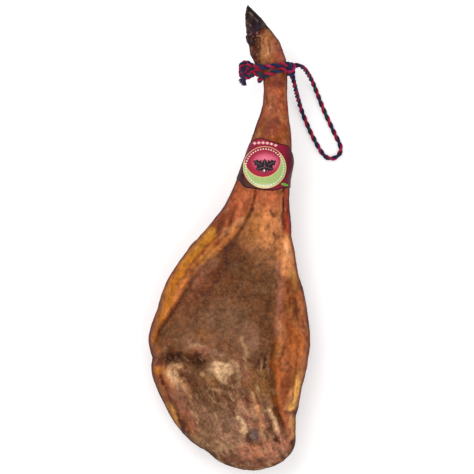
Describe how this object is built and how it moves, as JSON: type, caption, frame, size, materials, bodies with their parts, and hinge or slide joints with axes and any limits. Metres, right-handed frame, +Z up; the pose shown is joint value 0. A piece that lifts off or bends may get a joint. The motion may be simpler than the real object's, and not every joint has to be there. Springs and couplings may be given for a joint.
{
  "type": "cured ham",
  "caption": "Whole cured ham on the bone with its hoof, a printed paper band round the shank and a rope loop hitched round the ankle.",
  "frame": {"origin": "centre of the ham's footprint box, on the surface that it lies on", "axes": "+Z up from the rind side to the meat face, +Y along the leg towards the hoof, +X to the right seen from above"},
  "size_m": [0.3304, 0.7845, 0.1205],
  "materials": {
    "ham": "satin",
    "label": "satin",
    "rope": "matt"
  },
  "bodies": {
    "root": {"ham": "ham", "label": "label", "rope_hitch": "rope", "rope_loop": "rope"}
  },
  "joints": []
}
